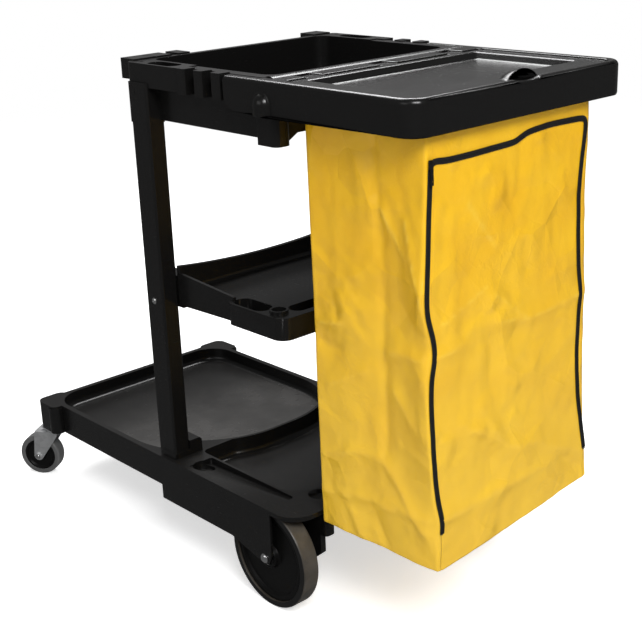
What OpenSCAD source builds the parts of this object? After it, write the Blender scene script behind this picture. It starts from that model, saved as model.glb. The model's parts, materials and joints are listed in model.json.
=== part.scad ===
// Janitor cart: bucket platform, two uprights, tool shelf, top bin, bag frame with lid, zipped bag.
// Millimetres, Z up, floor at Z = 0. X runs from the caster end to the bag end, Y across the cart.
// Lengths along X are measured from the centre of the uprights, then moved to the box centre.

/* [Rear wheels] */
// Rear wheel radius
wheel_r = 101; // [96:1:106]
// Rear tread width
wheel_w = 38; // [30:1:39]
// Thickness of the tyre band
tyre_t = 12; // [8:1:16]
// Radius of the wheel hub barrel
hub_r = 22; // [16:1:28]
// Thickness of the wheel disc
disc_t = 18; // [10:1:24]
// Axle bolt diameter
axle_d = 12; // [10:1:14]
// Wall of the axle bush
bush_t = 3; // [2:0.5:5]
// Distance from the rear edge of the deck to the axle
axle_setback = 87; // [80:1:95]
// Rim width of the axle washers
washer_rim = 9; // [6:1:12]
// Running gap between wheel and outer plate
wheel_side_gap = 1.6; // [1.4:0.1:4]

/* [Casters] */
// Caster wheel radius
caster_r = 48; // [42:1:52]
// Caster wheel width
caster_w = 32; // [24:1:36]
// Height of the caster mounting face above the floor
caster_h = 118; // [114:1:128]
// Trail of the caster wheel behind its swivel axis
trail = 41; // [34:1:46]
// Rest direction of the trail of the left caster, degrees from the X axis
caster_yaw = 214; // [190:1:250]
// Thickness of the fork plates
fork_t = 2.5; // [2:0.5:4]
// Caster axle diameter
caster_axle_d = 8; // [6:1:10]
// Diameter of the ball race
race_d = 36; // [30:1:40]
// Diameter of the caster screws
caster_screw_d = 6; // [5:0.5:7]
// Length of the caster screws
caster_screw_len = 14; // [10:1:16]
// Distance of the caster screws from the plate edges
caster_screw_in = 8; // [7:0.5:10]
// Side of the square caster plate
caster_plate = 52; // [48:1:54]
// Distance from the pod front to the swivel axis
swivel_in_x = 27; // [27:1:36]
// Distance from the pod side to the swivel axis
swivel_in_y = 27; // [27:1:36]

/* [Base] */
// Length of the bucket platform ahead of the uprights
platform_len = 495; // [440:5:520]
// Width of the bucket platform
platform_w = 488; // [480:1:496]
// Height of the platform walls, with the skirt
platform_h = 64.6; // [56:0.2:70]
// Depth of the bucket tray
tray_depth = 32; // [24:1:38]
// Thickness of the platform walls
wall_t = 12; // [8:1:16]
// Thickness of the tray floors
floor_t = 5; // [4:0.5:8]
// Corner radius of the bucket tray at the front
tray_r = 62; // [30:1:80]
// Corner radius of the bucket tray at the uprights
tray_rear_r = 205; // [150:1:215]
// Reach of the bucket tray behind the upright faces
tray_bow = 23; // [10:1:26]
// Length of the caster pods
pod_len = 74; // [70:1:90]
// Width over the caster pods
pod_span = 530; // [524:1:540]
// Step of the pods past the platform front
pod_out = 10; // [2:1:16]
// Length of the rear deck behind the uprights
deck_len = 390; // [382:1:410]
// Width over the rear skirts
deck_w = 542; // [540:1:556]
// Depth of the side skirts below the rim
skirt_h = 93.5; // [80:0.5:100]
// Thickness of the side skirts
skirt_t = 5; // [4:0.5:7]
// Plan radius of the rear corners
deck_r = 48; // [30:1:60]
// Thickness of the rear lip
lip_t = 9; // [6:1:12]
// Thickness of the skin over the wheels
well_skin = 2.5; // [2:0.5:5]
// Gap between tread and wheel well
wheel_gap = 1.5; // [1.5:0.5:8]
// Depth of the rear tray
rear_tray_depth = 37; // [25:1:44]
// Thickness of the inner wheel plates
fork_plate_t = 12; // [8:1:14]
// Distance of the inner wheel plates from the centre line, outer face
fork_plate_y = 196; // [192:1:200]
// Diameter of the cups in the side rails
cup_d = 44; // [30:1:46]
// Depth of the cups in the side rails
cup_depth = 18; // [12:1:28]
// Depth of the side rail troughs
trough_depth = 14; // [10:1:24]
// Height of the upright sockets above the rim
boot_h = 30; // [20:1:50]
// Diameter of the holes in the rear lip
deck_hole_d = 40; // [30:1:42]
// Thickness of the wall between bucket tray and rear tray
divider_t = 6; // [4:0.5:12]

/* [Uprights] */
// Length of an upright
upright_len = 710; // [600:5:760]
// Upright section along the cart
upright_x = 54; // [46:1:58]
// Upright section across the cart
upright_y = 36; // [28:1:40]
// Width over the uprights
upright_span = 520; // [514:1:526]
// Wall of the upright tube
upright_wall = 3; // [2:0.5:4]
// Corner radius of the upright
upright_r = 5; // [5:0.5:10]
// Depth of the upright in the base
foot_depth = 45; // [30:1:60]
// Sliding gap of spigots and sockets
slip = 0.3; // [0.2:0.05:0.5]

/* [Shelf] */
// Height of the shelf underside above the deck rim
shelf_rise = 316; // [250:1:400]
// Length of the shelf
shelf_len = 311; // [280:1:325]
// Width of the shelf
shelf_w = 466; // [450:1:474]
// Height of the shelf front wall at its ends
shelf_front_h = 77; // [60:1:90]
// Dip of the shelf front wall in its middle
shelf_dip = 14; // [4:1:20]
// Height of the shelf side walls
shelf_side_h = 64; // [54:1:74]
// Fall of the shelf side walls towards the tool holders
side_fall = 18; // [0:1:20]
// Taper of each shelf side towards the tool holders
shelf_taper = 9; // [0:1:18]
// Height of the tool holder zone
holder_h = 41; // [38:1:52]
// Depth of the shelf tray below the tool holders
shelf_depth = 14; // [8:1:20]
// Length of the holder zone
holder_len = 154; // [124:1:156]
// Step of the holder zone past the shelf sides
holder_out = 5; // [2:0.5:8]
// Plan radius of the shelf rear corners
shelf_r = 24; // [18:1:36]
// Bore of the tool handle rings
ring_d = 26; // [18:1:30]
// Wall of the tool handle rings
ring_t = 4; // [2.5:0.5:4.5]

/* [Top bin] */
// Length of the top bin
bin_len = 358; // [340:1:380]
// Overhang of the bin ahead of the uprights centre
bin_front = 35; // [33:1:45]
// Depth of the bin from rim to underside
bin_h = 102; // [80:1:104]
// Height of the rim above the upright tops
leg_h = 107; // [106:1:130]
// Step of the bin legs past the uprights
leg_step = 1.5; // [0:0.5:2]
// Width over the top rails
top_w = 514; // [510:1:520]
// Overhang of the top rails past the bin sides
rail_out = 22; // [20:1:24]
// Width of the bin rim beside the opening
bin_rim = 23; // [21:1:34]
// Thickness of the bin end walls
bin_wall = 5; // [4:0.5:7]
// Height of the top rails
rail_h = 42; // [34:1:50]
// Width of a tool finger
finger_w = 23; // [16:1:25]
// Pitch of the tool fingers
finger_pitch = 48; // [44:1:50]

/* [Bag frame and lid] */
// Length of the bag frame behind the bin
frame_len = 356; // [340:1:400]
// Height of the frame skirt
frame_h = 57.5; // [50:0.5:70]
// Thickness of the frame skirt
frame_t = 5; // [4:0.5:6]
// Plan radius of the frame rear corners
frame_r = 33; // [26:1:50]
// Top edge radius of the frame
frame_edge_r = 9; // [4:0.5:9.5]
// Length of the frame arms along the bin
arm_len = 80; // [60:1:90]
// Corner radius of the frame arms
arm_r = 26; // [16:1:28]
// Radius of the bulge on the frame arms
bulge_r = 19; // [10:1:20]
// Width of the crossbar between bin and lid
crossbar_w = 55; // [50:1:60]
// Diameter of the screws between bin and frame
frame_screw_d = 5; // [4:0.5:6]
// Length of the screws between bin and frame
frame_screw_len = 20; // [16:1:24]
// Distance from the frame side to the lid
lid_side = 23; // [22:1:27]
// Distance from the frame rear to the lid
lid_rear = 15; // [14:1:24]
// Thickness of the lid
lid_t = 4; // [3:0.5:5]
// Depth of the sunk lid panel
lid_sink = 12; // [5:1:13]
// Border of the lid ahead of the sunk panel
lid_front_border = 14; // [10:1:24]
// Border of the lid behind the sunk panel
lid_rear_border = 49; // [44:1:60]
// Border of the lid beside the sunk panel
lid_side_border = 29; // [20:1:40]
// Width of the slopes round the sunk panel
lid_slope = 10; // [8:1:24]
// Radius of the finger hood on the lid
hood_r = 50; // [42:1:54]
// Height of the finger hood above the lid
hood_h = 15; // [10:1:18]
// Diameter of the lid hinge pin
lid_pin_d = 5; // [4:0.5:6]
// Width of the lid hinge tongues
tongue_w = 34; // [30:1:56]

/* [Bag] */
// Height of the bag above its zipped flap
bag_head = 67; // [50:1:100]
// Width of the bag
bag_w = 398; // [392:1:420]
// Depth of the bag along the cart
bag_d = 266; // [240:1:267]
// Distance from the rear of the frame to the bag
bag_inset = 23; // [20:1:30]
// Offset of the bag from the centre line
bag_y = -10; // [-14:1:0]
// Lean of the hanging bag in degrees
bag_lean = 1.28; // [0.5:0.01:1.5]
// Rise of the bag bottom from the left side to the right side
bag_rise = 28; // [0:1:36]
// Thickness of the bag wall
bag_t = 2; // [1.5:0.5:3]
// Width of one side of the zip tape
tape_w = 6; // [5:0.5:8]
// Thickness of the zip tape
tape_t = 2; // [1.5:0.5:2]
// Height of the flap hinge above the bag bottom
flap_rise = 64; // [40:1:80]
// Length of the zipped flap
flap_len = 615; // [500:5:630]
// Width of the zipped flap
flap_w = 384; // [330:1:384]
// Length of the zip slider
slider_len = 14; // [10:1:18]

/* [Hidden] */
$fn = 48;

eps = 0.01;
run = 0.05;
free = 0.3;

// Heights
platform_z = caster_h;
platform_top = platform_z + platform_h;
tray_z = platform_top - tray_depth;
rim_z = 2 * wheel_r + wheel_gap + well_skin;
rear_floor_z = rim_z - rear_tray_depth;
skirt_z = rim_z - skirt_h;
foot_z = rim_z - foot_depth;
seam_z = foot_z + upright_len;
bin_top = seam_z + leg_h;
bin_z = bin_top - bin_h;
rail_z = bin_top - rail_h;
frame_top = bin_top - 2;
frame_z = frame_top - frame_h;
shelf_z = rim_z + shelf_rise;

// Stations along X
platform_x = -platform_len;
pod_x0 = platform_x - pod_out;
pod_x1 = pod_x0 + pod_len;
deck_x0 = 14 - upright_x / 2;
deck_x1 = deck_len;
divider_x0 = upright_x / 2 + tray_bow;
rear_tray_x0 = upright_x / 2 + divider_t;
rear_tray_x1 = deck_x1 - 70;
axle_x = deck_x1 - axle_setback;
trough_x0 = rear_tray_x0 + 37;
trough_x1 = axle_x + 14;
trough_y0 = deck_w / 2 - 9;
trough_y1 = deck_w / 2 - 45;
swivel_x = pod_x0 + swivel_in_x;
swivel_y = pod_span / 2 - swivel_in_y;
bin_x0 = -bin_front;
bin_x1 = bin_x0 + bin_len;
frame_x0 = bin_x1;
frame_x1 = bin_x1 + frame_len;
arm_x0 = frame_x0 - arm_len;
lid_x1 = frame_x1 - lid_rear;
lid_x0 = frame_x0 + crossbar_w + 3;
shelf_x0 = upright_x / 2 + 2;
shelf_x1 = shelf_x0 + shelf_len;

// Widths
upright_out = upright_span / 2;
upright_in = upright_out - upright_y;
upright_mid = upright_out - upright_y / 2;
tray_y = platform_w / 2 - wall_t;
bin_w = top_w - 2 * rail_out;
bin_mouth_w = bin_w - 2 * bin_rim;
lid_w = top_w - 2 * lid_side;
rear_tray_y = fork_plate_y + 4;
wheel_out = deck_w / 2 - skirt_t - wheel_side_gap;
wheel_in = wheel_out - wheel_w;

// Casters
c_dx = cos(caster_yaw);
c_dy = sin(caster_yaw);
caster_edge = 5;
caster_reach = caster_edge + (caster_r - caster_edge) * abs(c_dx) + (caster_w / 2 - caster_edge) * abs(c_dy);
caster_x = swivel_x + trail * c_dx;
plate_t = 3;
race_t = 6;
crown_t = 4;
crown_top = caster_h - plate_t - race_t - free;
crown_z = crown_top - crown_t;
kingpin_r = 6;
pin_z = crown_z - free - 1;
leg_y = caster_w / 2 + 3;
screw_at = caster_plate / 2 - caster_screw_in;

// Box centre along X
x_mid = (min(caster_x - caster_reach, pod_x0) + frame_x1) / 2;

// Bag
ring_t_bag = 4;
bag_x1 = frame_x1 - bag_inset;
bag_x0 = bag_x1 - bag_d;
bag_xc = (bag_x0 + bag_x1) / 2;
ring_x0 = bag_x0 + bag_t + free;
ring_x1 = bag_x1 - bag_t - free;
ring_w = bag_w / 2 - bag_t - free;
ledge_t = 5;
ledge_z = frame_top - 27;
bag_top = ledge_z - 5;
flap_top = bag_top - bag_head;
flap_z = flap_top - flap_len;
bag_z = flap_z - flap_rise;
flap_y0 = bag_y + 1 - flap_w / 2;
flap_y1 = flap_y0 + flap_w;
hole_gap = 0.5;

// Lid hinge
hinge_x = frame_x0 + 34;
hinge_z = frame_top - 8;
knuckle_r = 6;
lid_top = hinge_z + knuckle_r;
lid_skirt_z = ledge_z + ledge_t + free;
hood_y = 2.5;
hood_z = lid_top + hood_h - hood_r;
tongue_ys = [-170, 0, 170];

module placed() {
    translate([-x_mid, 0, 0]) children();
}

module both() {
    children();
    mirror([0, 1, 0]) children();
}

module on_side(side) {
    if (side < 0) children();
    else mirror([0, 1, 0]) children();
}

// Rectangle with one radius at its low-X corners and another at its high-X corners.
module rect2(x0, x1, y0, y1, ra, rb) {
    translate([x0 + ra, y0]) square([x1 - rb - x0 - ra, y1 - y0]);
    translate([x0, y0 + ra]) square([ra + eps, y1 - y0 - 2 * ra]);
    translate([x1 - rb - eps, y0 + rb]) square([rb + eps, y1 - y0 - 2 * rb]);
    for (y = [y0 + ra, y1 - ra]) translate([x0 + ra, y]) circle(ra);
    for (y = [y0 + rb, y1 - rb]) translate([x1 - rb, y]) circle(rb);
}

module slab(x0, x1, y0, y1, z0, z1, ra, rb) {
    translate([0, 0, z0]) linear_extrude(z1 - z0) rect2(x0, x1, y0, y1, ra, rb);
}

module box(x0, x1, y0, y1, z0, z1) {
    translate([x0, y0, z0]) cube([x1 - x0, y1 - y0, z1 - z0]);
}

// Slot with round ends, long side along X.
module slot_x(x0, x1, y, w, z0, z1) {
    translate([0, 0, z0]) linear_extrude(z1 - z0) {
        translate([x0 + w / 2, y - w / 2]) square([x1 - x0 - w, w]);
        for (x = [x0 + w / 2, x1 - w / 2]) translate([x, y]) circle(w / 2);
    }
}

// Slot with round ends, long side along Y.
module slot_y(x, y0, y1, w, z0, z1) {
    translate([0, 0, z0]) linear_extrude(z1 - z0) {
        translate([x - w / 2, y0 + w / 2]) square([w, y1 - y0 - w]);
        for (y = [y0 + w / 2, y1 - w / 2]) translate([x, y]) circle(w / 2);
    }
}

// Cylinder along +Y from y0 to y1.
module rod_y(x, z, y0, y1, r) {
    translate([x, y0, z]) rotate([-90, 0, 0]) cylinder(h = y1 - y0, r = r);
}

// Outline in the XZ plane, thick from y0 to y1.
module upright_plate(y0, y1) {
    translate([0, y1, 0]) rotate([90, 0, 0]) linear_extrude(y1 - y0) children();
}

// Outline in the YZ plane, long from x0 to x1.
module long_x(x0, x1) {
    translate([x0, 0, 0]) rotate([90, 0, 90]) linear_extrude(x1 - x0) children();
}

// Base

// Bucket tray in plan with its round rear end, grown by a wall.
module tray_plan(grow, z0, z1) {
    slab(platform_x + wall_t, divider_x0 + grow, -tray_y - grow, tray_y + grow, z0, z1, tray_r,
        tray_rear_r + grow);
}

module rear_block() {
    intersection() {
        tray_plan(divider_t, tray_z - floor_t, rim_z - 1);
        box(deck_x0, divider_x0 + divider_t + 1, -deck_w / 2, deck_w / 2, platform_z, rim_z);
    }
    slab(deck_x0, deck_x1, -deck_w / 2, deck_w / 2, rim_z - lip_t, rim_z, 2, deck_r);
    box(deck_x0, rear_tray_x0, -deck_w / 2, deck_w / 2, platform_z, rim_z - 1);
    slab(upright_x / 2, rear_tray_x1 + floor_t, -rear_tray_y - floor_t, rear_tray_y + floor_t,
        rear_floor_z - floor_t, rim_z - 1, 2, 40);
    box(deck_x1 - 8, deck_x1 - 2, -fork_plate_y + 2, fork_plate_y - 2, rim_z - 16, rim_z - 1);
    both() {
        box(deck_x0, axle_x + 20, -deck_w / 2, -rear_tray_y, rim_z - 34, rim_z - 1);
        slab(deck_x1 - 16, deck_x1 + 2, -fork_plate_y, -fork_plate_y + 24, rim_z - 58, rim_z - 1, 2, 8);
        upright_plate(-deck_w / 2, -deck_w / 2 + skirt_t) {
            translate([deck_x0, skirt_z]) square([axle_x + 20 - deck_x0, skirt_h - 1]);
            polygon([[axle_x - 98, skirt_z + 1], [axle_x - 13, axle_z() - 9], [axle_x + 13, axle_z() - 9],
                [axle_x + 20, skirt_z + 1]]);
            translate([axle_x, axle_z()]) circle(11);
        }
        upright_plate(-fork_plate_y, -fork_plate_y + fork_plate_t)
            polygon([[axle_x - 98, rim_z - 1], [axle_x - 98, axle_z() + 40], [axle_x - 20, axle_z() - 12],
                [axle_x + 50, axle_z() - 12], [deck_x1 - 14, axle_z() + 8], [deck_x1 - 14, rim_z - 1]]);
        long_x(deck_x0, upright_x / 2 + 2)
            polygon([[-deck_w / 2, platform_z], [-deck_w / 2, rim_z - 56],
                [-upright_out - slip - 0.7, rim_z + 12], [-upright_in + 5, rim_z + 12],
                [-upright_in + 5, platform_z]]);
        long_x(-upright_x / 2, upright_x / 2 + 2)
            polygon([[-upright_in - 1, platform_z], [-upright_in - 1, rim_z + boot_h],
                [-upright_in + 23, rim_z + boot_h], [-upright_in + 28, rim_z + boot_h - 5],
                [-upright_in + 31, platform_z]]);
    }
}

function axle_z() = wheel_r;

module rear_cuts() {
    difference() {
        slab(rear_tray_x0, rear_tray_x1, -rear_tray_y, rear_tray_y, rear_floor_z, rim_z + 1, 14, 60);
        tray_plan(divider_t, rear_floor_z - 1, rim_z + 2);
    }
    both() {
        translate([trough_x0 + 18, -(rear_tray_y + deck_w / 2) / 2 - 2, rim_z - cup_depth])
            cylinder(h = cup_depth + 2, d = cup_d);
        trough();
        translate([deck_x1 - 50, -164, rim_z - lip_t - 1]) cylinder(h = lip_t + 2, d = deck_hole_d);
        rod_y(axle_x, axle_z(), -deck_w / 2 + skirt_t, -wheel_in + wheel_side_gap, wheel_r + wheel_gap);
        rod_y(axle_x, axle_z(), -deck_w / 2 - 1, -fork_plate_y + fork_plate_t + 1, axle_d / 2 + run);
        slab(-upright_x / 2 - slip, upright_x / 2 + slip, -upright_out - slip, -upright_in + slip,
            foot_z, rim_z + boot_h + 1, upright_r, upright_r);
    }
}

// Sloping trough in the side rail: its floor falls from the outer edge line towards the rear tray.
module trough() {
    edge_turn = atan((trough_y0 - trough_y1) / (trough_x1 - trough_x0));
    reach = (trough_y0 - rear_tray_y - 5) * cos(edge_turn);
    intersection() {
        translate([trough_x0, -trough_y0, rim_z]) rotate([0, 0, edge_turn])
            rotate([-atan(trough_depth / reach), 0, 0]) translate([-deck_w, 0, 0])
                cube([3 * deck_w, deck_w, deck_w]);
        slab(trough_x0, trough_x1, -trough_y0, -rear_tray_y - 5, rim_z - 30, rim_z + 1, 6, 6);
    }
}

module base_deck() {
    color("dimgray") placed() difference() {
        union() {
            slab(platform_x, deck_x0 + 4, -platform_w / 2, platform_w / 2, platform_z, platform_top, 14, 1);
            both() {
                slab(pod_x0, pod_x1, -pod_span / 2, -pod_span / 2 + 70, platform_z, platform_top, 20, 14);
                translate([pod_x1 - 14, -pod_span / 2 + 14, platform_z]) cylinder(h = platform_h - 5, r = 17);
            }
            rear_block();
        }
        tray_plan(0, tray_z, rim_z + 1);
        slab(platform_x + wall_t, deck_x0 - 6, -tray_y, tray_y, platform_z - 1, tray_z - floor_t,
            tray_r + 20, 20);
        rear_cuts();
        both() caster_holes();
    }
}

module caster_holes() {
    translate([swivel_x, -swivel_y, platform_z - 1])
        for (x = [-1, 1]) for (y = [-1, 1])
            translate([x * screw_at, y * screw_at, 0])
                cylinder(h = caster_screw_len - plate_t + 2, d = caster_screw_d);
}

// Uprights

module upright(side) {
    color("gray") placed() on_side(side) difference() {
        slab(-upright_x / 2, upright_x / 2, -upright_out, -upright_in, foot_z, seam_z, upright_r, upright_r);
        slab(-upright_x / 2 + upright_wall, upright_x / 2 - upright_wall, -upright_out + upright_wall,
            -upright_in - upright_wall, foot_z - 1, seam_z + 1, upright_r - upright_wall,
            upright_r - upright_wall);
        rod_y(screw_x(), screw_z(), -upright_out - 1, -upright_in + 1, 3 + run);
    }
}

function screw_x() = -3;
function screw_z() = shelf_z + 8;

module upright_left() { upright(-1); }
module upright_right() { upright(1); }

module upright_screws() {
    color("silver") placed() both() {
        difference() {
            union() {
                rod_y(screw_x(), screw_z(), -upright_out, -upright_in + 18, 3);
                intersection() {
                    translate([screw_x(), -upright_out + 5.5, screw_z()]) sphere(r = 8.5);
                    box(screw_x() - 10, screw_x() + 10, -upright_out - 5, -upright_out, screw_z() - 10,
                        screw_z() + 10);
                }
            }
            rod_y(screw_x(), screw_z(), -upright_out - 4, -upright_out - 1.4, 2.2);
        }
    }
}

// Shelf

// Half width of the shelf between the uprights and the tool holders, drawn in by inset.
function shelf_half(x, inset) =
    shelf_w / 2 - holder_out - inset - shelf_taper * (x - shelf_x0) / (shelf_len - holder_len);

// Plan of that part of the shelf, with its front corners cut by c.
module shelf_plan(x0, x1, inset, c, z0, z1) {
    a = shelf_half(x0 + c, inset);
    b = shelf_half(x1, inset);
    translate([0, 0, z0]) linear_extrude(z1 - z0)
        polygon([[x0, -a + c], [x0 + 0.3 * c, -a + 0.3 * c], [x0 + c, -a], [x1, -b], [x1, b], [x0 + c, a],
            [x0 + 0.3 * c, a - 0.3 * c], [x0, a - c]]);
}

module shelf_holder_cuts() {
    z0 = shelf_z + 6;
    z1 = shelf_z + holder_h + 1;
    y = shelf_w / 2 - 49;
    slot_x(shelf_x1 - holder_len + 4.5, shelf_x1 - 62, -shelf_w / 2 + 23, 38, z0, z1);
    slot_y(shelf_x1 - 33, -y, -y + 88, 36, z0, z1);
}

module shelf_ring(side, r, z0, z1) {
    translate([shelf_x1 - 40, side * (shelf_w / 2 - 28), z0]) cylinder(h = z1 - z0, r = r);
}

module mid_shelf() {
    top = shelf_z + holder_h;
    floor_z = top - shelf_depth;
    step_x = shelf_x1 - holder_len;
    side_top = shelf_z + shelf_side_h;
    front_top = shelf_z + shelf_front_h;
    half = shelf_w / 2 - holder_out - 2;
    low_z = front_top - shelf_dip;
    dip_r = (half * half + shelf_dip * shelf_dip) / (2 * shelf_dip);
    color("dimgray") placed() difference() {
        union() {
            shelf_plan(shelf_x0, step_x + 20, 0, 6, shelf_z, top);
            slab(step_x, shelf_x1, -shelf_w / 2, shelf_w / 2, shelf_z, top, 15, shelf_r);
            shelf_plan(shelf_x0, step_x + 4, 0, 6, shelf_z, side_top);
            slab(shelf_x0, shelf_x0 + 9, -half, half, shelf_z, front_top, 3, 3);
            both() {
                slab(-upright_x / 2 + 2, shelf_x0 + 12, -upright_in, -upright_in + 30, shelf_z - 6, side_top - 8, 4, 1);
                shelf_ring(-1, ring_d / 2 + ring_t, shelf_z + 10, top + 5);
            }
        }
        shelf_plan(shelf_x0 + 9, step_x - 1, 6, 14, floor_z, front_top + 1);
        slab(shelf_x0 + 9, shelf_x1 - 56, -shelf_w / 2 + 46, shelf_w / 2 - 46, floor_z, top + 1, 14, 26);
        shelf_plan(shelf_x0 + 9, step_x + 9, 6, 0.1, top, front_top + 1);
        translate([0, shelf_w, 0]) rotate([90, 0, 0]) linear_extrude(2 * shelf_w)
            polygon([[shelf_x0 + 9, side_top], [step_x + 9, side_top - side_fall], [step_x + 9, front_top + 1],
                [shelf_x0 + 9, front_top + 1]]);
        long_x(shelf_x0 - 1, shelf_x0 + 10) polygon(concat(
            [for (i = [-10 : 10]) let (y = half * i / 10) [y, low_z + dip_r - sqrt(dip_r * dip_r - y * y)]],
            [[half, low_z + 60], [-half, low_z + 60]]));
        slab(shelf_x0 + 20, shelf_x1 - 58, -shelf_w / 2 + 52, shelf_w / 2 - 52, shelf_z - 1, floor_z - floor_t,
            10, 10);
        both() {
            shelf_holder_cuts();
            shelf_ring(-1, ring_d / 2, shelf_z - 1, top + 6);
            rod_y(screw_x(), screw_z(), -upright_in - 1, -upright_in + 18, 3 + run);
        }
    }
}

// Top bin

module finger(k) {
    x0 = bin_x0 + 152 + k * finger_pitch;
    slab(x0, x0 + finger_w, -top_w / 2, -bin_w / 2 + 4, rail_z - 3, bin_top, 3, 3);
}

module bin_half_solids() {
    slab(-upright_x / 2 - leg_step, upright_x / 2 + leg_step, -upright_out - leg_step, -upright_in + leg_step,
        seam_z, rail_z + 8, upright_r, upright_r);
    slab(-upright_x / 2 + upright_wall + slip, upright_x / 2 - upright_wall - slip,
        -upright_out + upright_wall + slip, -upright_in - upright_wall - slip, seam_z - 38, seam_z + 4,
        upright_r - upright_wall - slip, upright_r - upright_wall - slip);
    rod_y(-upright_x / 2 + 12, rail_z - 8, -upright_out - 2, -upright_out + 2, 8);
    for (k = [0 : 2]) finger(k);
    hook_block(14, 44);
    slab(bin_x1 - 6, bin_x1 + 44, -bin_w / 2 - 14, -bin_w / 2 + 20, bin_z - 8, frame_top - 8, 4, 12);
    long_x(bin_x1 - 2, bin_x1 + 30)
        polygon([[-bin_w / 2 + 12, bin_z - 6], [-bin_w / 2 + 24, bin_z - 4], [-bin_w / 2 + 60, bin_z + 16],
            [-bin_w / 2 + 60, bin_z + 50], [-bin_w / 2 + 12, bin_z + 50]]);
}

// Block of a tool hook on the bin front: distance from the rail's outer face, and width.
module hook_block(inset, w) {
    y = -top_w / 2 + inset;
    box(bin_x0 - 36, bin_x0 + 6, y, y + w, bin_top - 34, bin_top + 3);
}

module top_bin() {
    color("dimgray") placed() difference() {
        union() {
            slab(bin_x0 + 9, bin_x1, -bin_w / 2, bin_w / 2, bin_z, bin_top - 3, 24, 6);
            slab(bin_x0, bin_x0 + 154, -top_w / 2, top_w / 2, rail_z, bin_top, 12, 5);
            slab(bin_x0 + 9, bin_x1, -bin_w / 2, bin_w / 2, bin_top - 12, bin_top - 2, 24, 6);
            both() bin_half_solids();
            hook_block(60, 39);
            hook_block(115, 26);
        }
        slab(bin_x0 + 9 + bin_wall, bin_x1 - bin_wall, -bin_mouth_w / 2, bin_mouth_w / 2, bin_z + floor_t,
            bin_top + 4, 26, 26);
        both() {
            box(bin_x0 + 90, bin_x1 - 24, -bin_w / 2 + 5, -bin_mouth_w / 2 - 5, bin_z - 1, rail_z - 5);
            slot_x(bin_x0 + 50, bin_x0 + 130, -(top_w + bin_mouth_w) / 4 - 1, 32, rail_z + 6, bin_top + 1);
            for (x = [14, 28]) translate([bin_x0 + x, -top_w / 2 + 16, bin_top - 14]) cylinder(h = 15, r = 3.5);
        }
        for (y = frame_screw_ys()) translate([bin_x1 - bin_wall - 1, y, frame_screw_z()]) rotate([0, 90, 0])
            cylinder(h = bin_wall + 2, d = frame_screw_d + 2 * run);
    }
}

// Bag frame

function frame_screw_ys() = [-115, -60, 60, 115];
function frame_screw_z() = frame_top - 15;

module frame_edge() {
    r = frame_edge_r;
    difference() {
        translate([-1, frame_top - r]) square([r + 1, r + 1]);
        translate([r, frame_top - r]) circle(r);
    }
}

module frame_edge_cut() {
    y = top_w / 2;
    long_x(arm_x0 - 1, frame_x1 - frame_r) translate([-y, 0]) frame_edge();
    mirror([0, 1, 0]) long_x(arm_x0 - 1, frame_x1 - frame_r) translate([-y, 0]) frame_edge();
    translate([frame_x1, 0, 0]) rotate([0, 0, 90]) long_x(-y + frame_r, y - frame_r) frame_edge();
    for (s = [-1, 1]) translate([frame_x1 - frame_r, s * (y - frame_r), 0])
        rotate([0, 0, s < 0 ? -90 : 0]) rotate_extrude(angle = 90)
            translate([frame_r, 0]) mirror([1, 0]) frame_edge();
}

module frame_arm() {
    upright_plate(-top_w / 2, -top_w / 2 + frame_t) {
        translate([arm_x0, frame_z + arm_r]) square([arm_len + 1, frame_h - arm_r]);
        translate([arm_x0 + arm_r, frame_z]) square([arm_len - arm_r + 1, frame_h]);
        intersection() {
            translate([arm_x0 + arm_r, frame_z + arm_r]) circle(arm_r);
            translate([arm_x0, frame_z]) square([arm_r + 1, arm_r + 1]);
        }
    }
    box(arm_x0, frame_x0 + 1, -top_w / 2, -bin_w / 2 - 2, frame_top - 6, frame_top);
    intersection() {
        union() {
            translate([frame_x0 + 20, -top_w / 2 + 5, frame_z]) cylinder(h = 19, r = bulge_r);
            translate([frame_x0 + 20, -top_w / 2 + 5, frame_z + 19]) sphere(r = bulge_r);
        }
        box(frame_x0, frame_x0 + 42, -top_w / 2 - 20, -top_w / 2 + frame_t, frame_z, frame_top);
    }
}

// Tilt of the hanging bag about the middle of its rim.
module leaned() {
    translate([bag_xc, 0, ledge_z]) rotate([0, -bag_lean, 0]) translate([-bag_xc, 0, -ledge_z]) children();
}

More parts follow.
